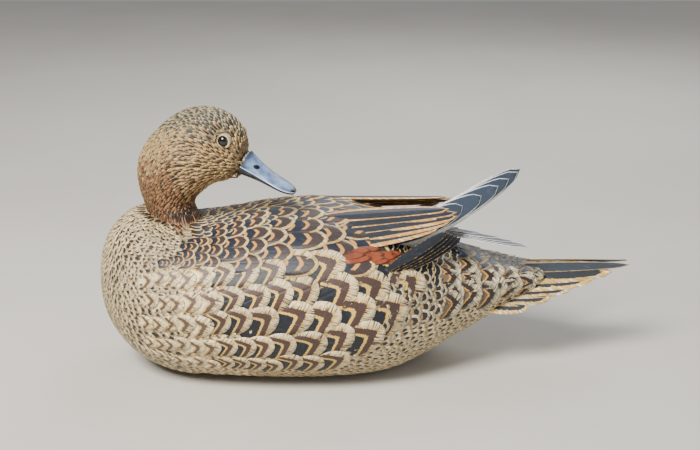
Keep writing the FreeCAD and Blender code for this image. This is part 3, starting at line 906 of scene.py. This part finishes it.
def vane_faces():
    """The faces of two grids, one over the other, joined round their rim."""
    row = SIDE_STEPS
    block = row * (LONG_STEPS + 1)
    faces = []
    for i in range(LONG_STEPS):
        for j in range(row - 1):
            a = i * row + j
            faces.append((a, a + row, a + row + 1, a + 1))
            faces.append((block + a, block + a + 1, block + a + row + 1, block + a + row))
    for i in range(LONG_STEPS):
        a, b = i * row, (i + 1) * row
        faces.append((a, block + a, block + b, b))
        a, b = a + row - 1, b + row - 1
        faces.append((a, b, block + b, block + a))
    for j in range(row - 1):
        faces.append((j, j + 1, block + j + 1, block + j))
        a = LONG_STEPS * row + j
        faces.append((a, block + a, block + a + 1, a + 1))
    return faces


def vane_mesh(name, root, tip, face, half, material, camber, wide_at=0.5):
    """A free feather with a raised quill and cambered vanes, from its root to its tip."""
    along = (tip - root).normalized()
    face = (face - along * face.dot(along)).normalized()
    across = face.cross(along)
    marks = dice.random(), dice.random()
    points, vane = [], []
    for top in (True, False):
        for i in range(LONG_STEPS + 1):
            s = i / LONG_STEPS
            width = vane_width(s, wide_at)
            spine = root.lerp(tip, s)
            for j in range(SIDE_STEPS):
                y = 2 * j / (SIDE_STEPS - 1) - 1
                rise = vane_level(y, top) - camber * half * y * y * width
                points.append(spine + across * (y * max(width, 0.02) * half) + face * rise)
                vane.append((s, y / 2 + 0.5))
    mesh = bpy.data.meshes.new(name)
    mesh.from_pydata([tuple(p) for p in points], [], vane_faces())
    mesh.validate()
    return ride_hull(mesh, (("Vane", vane), ("Shade", [marks] * len(points))), material)


# Levels of a free feather: the chevron's colour takes nearly all of it inside its margin.
LONG_FEATHER = {"Margin End": -9.0, "Chevron End": 30.0, "Line End": 31.0, "Point": 0.0}
PRIMARY_PAINT = painted("primary_paint", {
    **LONG_FEATHER, "Margin": WHITE, "Margin Tinge": (0.60, 0.62, 0.62, 1),
    "Chevron": (0.028, 0.042, 0.066, 1), "Line": PALE_SLATE, "Centre": (0.028, 0.042, 0.066, 1),
    "Aspect": 11.0, "Rim": 0.88, "Ragged": 0.0, "Barbs": 4.0, "Hairs": 0.0, "Shoulder": 0.93,
    "Variation": 0.3}, rough=0.42)
TERTIAL_PAINT = painted("tertial_paint", {
    **LONG_FEATHER, "Margin": CREAM, "Margin Tinge": OCHRE, "Chevron": (0.016, 0.020, 0.028, 1),
    "Line": BARK, "Centre": (0.022, 0.026, 0.034, 1), "Aspect": 10.0, "Rim": 0.58, "Ragged": 0.14,
    "Barbs": 3.5, "Hairs": 0.35, "Shoulder": 0.93, "Variation": 0.25}, rough=0.45)
TAIL_PAINT = painted("tail_side_paint", {
    **LONG_FEATHER, "Margin": WHITE, "Margin Tinge": WARM_CREAM, "Chevron": (0.020, 0.024, 0.030, 1),
    "Line": UMBER, "Centre": (0.016, 0.020, 0.028, 1), "Aspect": 9.0, "Rim": 0.60, "Ragged": 0.55,
    "Barbs": 2.2, "Hairs": 0.4, "Shoulder": 0.80, "Variation": 0.2}, rough=0.45)
TAIL_TOP_PAINT = painted("tail_top_paint", {
    **LONG_FEATHER, "Margin": (0.20, 0.20, 0.17, 1), "Margin Tinge": BUFF,
    "Chevron": (0.026, 0.034, 0.046, 1), "Line": BARK, "Centre": (0.022, 0.028, 0.038, 1), "Aspect": 9.0,
    "Rim": 0.80, "Ragged": 0.3, "Barbs": 2.6, "Hairs": 0.4, "Shoulder": 0.90, "Variation": 0.2}, rough=0.45)
# Partly painted shade: the wing edge's near-black stands for the wing's own dark feathers and also for the
# shade under the tertials.
WING_EDGE_SHADE_PAINT = painted("wing_edge_shade_paint", {
    **LONG_FEATHER, "Margin": WARM_CREAM, "Margin Tinge": BARK, "Chevron": (0.008, 0.011, 0.017, 1),
    "Line": BARK, "Centre": (0.006, 0.009, 0.014, 1), "Aspect": 9.0, "Rim": 0.86, "Ragged": 0.0,
    "Barbs": 4.0, "Hairs": 0.5, "Shoulder": 0.93, "Variation": 0.3}, rough=0.4)


def lay_quills():
    """Puts a free feather in place of every blade of the wings, the back and the tail."""
    for side in ("left", "right"):
        turn = -0.22 if side == "right" else 0.0
        for number in range(1, 7):
            top = number == 6
            quill_feather("%s_primary_feather_%d" % (side, number), "%s_primary_%d" % (side, number),
                          PRIMARY_PAINT, camber=0.10)
            quill_feather("%s_tail_feather_%d" % (side, number), "%s_tail_%d" % (side, number),
                          TAIL_TOP_PAINT if top else TAIL_PAINT, camber=0.05,
                          widen=0.5 if top else 1.1, wide_at=0.4)
        for number in range(1, 6):
            quill_feather("%s_tertial_feather_%d" % (side, number), "%s_tertial_%d" % (side, number),
                          TERTIAL_PAINT, camber=0.10, wide_at=0.32, turn=turn)


def lay_wing_edge():
    """The folded wing's lower edge: a fan of dark feathers from the flank up to the tertials' tips. Their
    near-black paint is partly the wing's own dark colour and partly painted shade under the tertials.
    """
    for side, name in ((-1, "left"), (1, "right")):
        for number in range(5):
            share = number / 4
            root, out = hull_point(blend(0.012, 0.034, share), side * blend(119, 123, share))
            tip = Vector((blend(0.062, 0.074, share), side * blend(0.040, 0.028, share),
                          blend(0.121, 0.112, share)))
            face = Vector((-0.35, side * 0.8, 0.5))
            vane_mesh("%s_wing_edge_feather_%d" % (name, number + 1), root + out * 0.002, tip, face, 0.0046,
                      WING_EDGE_SHADE_PAINT, camber=0.08)


lay_quills()
lay_wing_edge()


# ------------------------------------------------------------------ finishes of the carved and hidden pieces


NOSTRIL_BLACK = (0.002, 0.003, 0.006, 1)
LIP_BLUE = (0.55, 0.62, 0.70, 1)


def bill_marks(b, colour, along, height):
    """Adds the nostril, the pale lip and the dark underside; height is in millimetres over the mouth."""
    over = b.sum("DIVIDE", b.sum("SUBTRACT", height, 6.2), 1.3)
    beside = b.sum("DIVIDE", b.sum("SUBTRACT", along, 0.25), 0.055)
    reach = b.sum("SQRT", b.sum("ADD", b.sum("MULTIPLY", over, over), b.sum("MULTIPLY", beside, beside)))
    colour = b.mix(b.fall(reach, 0.8, 1.15), colour, NOSTRIL_BLACK)
    lip = b.fall(b.sum("ABSOLUTE", b.sum("SUBTRACT", height, 1.0)), 0.25, 0.45)
    colour = b.mix(b.sum("MULTIPLY", lip, 0.8), colour, LIP_BLUE)
    return b.mix(b.fall(height, 0.4, 0.7), colour, NAVY)


def bill_paint(name, light, dark, upper):
    """Blue-grey bill paint with a dark root and nail; the upper half also has a nostril and a pale lip."""
    material, b, shader = new_material(name)
    place = b.node("ShaderNodeTexCoord").outputs["Object"]
    along = b.sum("DIVIDE", b.measured(place, BILL_ROOT, BILL_WAY), BILL_LENGTH)
    height = b.sum("MULTIPLY", b.measured(place, BILL_ROOT, BILL_UP), 1000.0)
    drift = b.noise(place, 160.0, 4.0, 0.6)
    colour = b.mix(b.step(drift, 0.35, 0.65), dark, light)
    nail = b.step(b.sum("ADD", along, b.sum("MULTIPLY", drift, 0.04)), 0.93, 0.99)
    root = b.fall(b.sum("ADD", along, b.sum("MULTIPLY", drift, 0.06)), 0.06, 0.20)
    colour = b.mix(b.sum("MULTIPLY", root, 0.75), colour, NAVY)
    colour = b.mix(nail, colour, NAVY)
    if upper:
        colour = bill_marks(b, colour, along, height)
    b.plug(shader.inputs["Base Color"], colour)
    b.plug(shader.inputs["Roughness"], b.sum("ADD", 0.26, b.sum("MULTIPLY", drift, 0.15)))
    b.plug(shader.inputs["Normal"], b.bump(drift, 0.12, 0.0003))
    return material


def finish_nodes():
    """Gives every carved or hidden piece its own finish."""
    hull = plain("body_underpaint", (0.52, 0.42, 0.24, 1), (0.10, 0.065, 0.035, 1), 0.55, 420.0, relief=0.5,
                 stretch=(0.3, 1, 1))
    head = plain("head_underpaint", (0.34, 0.24, 0.11, 1), (0.045, 0.028, 0.016, 1), 0.55, 420.0, relief=0.5)
    slate = plain("slate_blade_paint", SLATE, NAVY, 0.45, 90.0, stretch=(0.2, 1, 1))
    birch = plain("birch_dowel", (0.62, 0.46, 0.27, 1), (0.46, 0.31, 0.16, 1), 0.6, 160.0,
                  stretch=(1, 1, 0.15))
    steel = plain("bright_steel", (0.58, 0.58, 0.57, 1), (0.42, 0.42, 0.42, 1), 0.28, 260.0, metal=1.0)
    brass = plain("brass_hardware", (0.62, 0.43, 0.15, 1), (0.36, 0.23, 0.08, 1), 0.3, 220.0, metal=1.0)
    lead = plain("cast_lead", (0.20, 0.205, 0.21, 1), (0.10, 0.105, 0.11, 1), 0.5, 120.0,
                 metal=0.9, relief=0.6)
    glass = plain("eye_glass", (0.010, 0.006, 0.004, 1), (0.003, 0.002, 0.002, 1), 0.05, 300.0,
                  relief=0.0, coat=0.35)
    lid = plain("eyelid_paint", (0.66, 0.55, 0.34, 1), (0.40, 0.31, 0.17, 1), 0.5, 900.0)
    upper = bill_paint("upper_bill_paint", (0.17, 0.27, 0.46, 1), (0.085, 0.14, 0.26, 1), True)
    lower = bill_paint("lower_bill_paint", (0.030, 0.040, 0.060, 1), (0.008, 0.010, 0.016, 1), False)
    finishes = {"body_top": hull, "body_bottom": hull, "head": head, "bill_upper": upper,
                "bill_lower": lower, "eye_left": glass, "eye_right": glass, "eyelid_left": lid,
                "eyelid_right": lid, "body_dowels": birch, "neck_bolt": steel, "neck_washer": steel,
                "neck_insert": brass, "ballast_weight": lead, "ballast_screws": brass,
                "line_clip": brass, "clip_screws": brass, "line_ring": brass}
    for name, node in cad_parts.items():
        node.data.materials.clear()
        node.data.materials.append(finishes.get(name, slate))


finish_nodes()


# ------------------------------------------------------------------ stage, light and camera


# Name, place, size, power and tint of each lamp.
LAMPS = (("key", (-0.7, -0.9, 1.3), 0.6, 62, (1.0, 0.96, 0.90)),
         ("fill", (1.2, -0.8, 0.7), 1.2, 5, (0.93, 0.96, 1.0)),
         ("rim", (0.3, 1.1, 1.0), 0.9, 10, (1.0, 1.0, 1.0)))
LIT_POINT = Vector((0, 0, 0.08))
WORLD_TINT = (0.92, 0.93, 0.95, 1)
WORLD_STRENGTH = 0.34


def lay_floor():
    mesh = bpy.data.meshes.new("floor")
    reach, depth = 3.0, 2.2
    mesh.from_pydata([(-reach, -reach, 0), (reach, -reach, 0), (reach, depth, 0), (-reach, depth, 0)], [],
                     [(0, 1, 2, 3)])
    floor = bpy.data.objects.new("floor", mesh)
    bpy.context.scene.collection.objects.link(floor)
    floor.data.materials.append(plain("pale_floor", (0.56, 0.54, 0.50, 1), (0.52, 0.50, 0.46, 1), 0.7, 3.0,
                                      relief=0.02))


def light():
    for name, place, size, power, tint in LAMPS:
        lamp = bpy.data.lights.new(name, "AREA")
        lamp.energy, lamp.size, lamp.color = power, size, tint
        holder = bpy.data.objects.new(name, lamp)
        bpy.context.scene.collection.objects.link(holder)
        holder.location = place
        holder.rotation_euler = (LIT_POINT - Vector(place)).to_track_quat("-Z", "Y").to_euler()
    world = bpy.data.worlds.new("studio")
    world.use_nodes = True
    world.node_tree.nodes["Background"].inputs[0].default_value = WORLD_TINT
    world.node_tree.nodes["Background"].inputs[1].default_value = WORLD_STRENGTH
    bpy.context.scene.world = world


def camera():
    lens, distance, elevation = 63.0, 1.0, math.radians(18.0)
    target = Vector((CAD_BOX[0].x + 0.201, 0, 0.1135))
    back = Vector((0, -math.cos(elevation), math.sin(elevation)))
    data = bpy.data.cameras.new("view")
    data.lens = lens
    holder = bpy.data.objects.new("view", data)
    bpy.context.scene.collection.objects.link(holder)
    holder.location = target + back * distance
    holder.rotation_euler = (-back).to_track_quat("-Z", "Y").to_euler()
    bpy.context.scene.camera = holder


lay_floor()
light()
camera()
